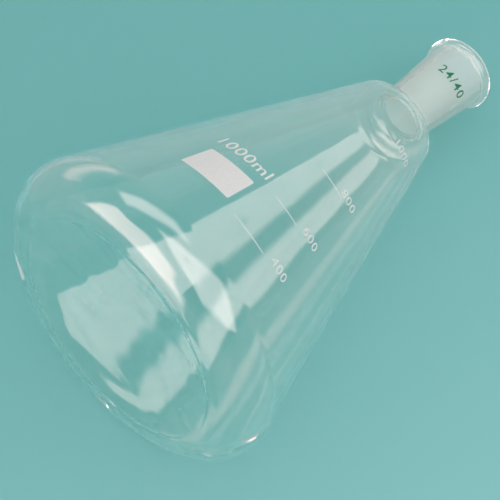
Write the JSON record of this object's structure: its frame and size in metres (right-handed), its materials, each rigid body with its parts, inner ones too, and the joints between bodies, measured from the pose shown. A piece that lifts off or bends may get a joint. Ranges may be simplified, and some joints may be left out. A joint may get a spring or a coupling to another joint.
{
  "type": "erlenmeyer flask",
  "caption": "Conical glass flask with a flat ring foot, rounded shoulder and a tapered ground socket with a beaded rim.",
  "frame": {"origin": "centre of the ring that the flask stands on", "axes": "+Z is the axis of the flask, from the foot up to the mouth; the flask is round about it, and its printed scale faces +X"},
  "size_m": [0.132, 0.132, 0.214],
  "materials": {
    "clear_glass": "clear, fire polished",
    "white_enamel": "white fired enamel print",
    "green_enamel": "green fired enamel print"
  },
  "bodies": {
    "root": {"flask": "clear_glass"}
  },
  "joints": []
}
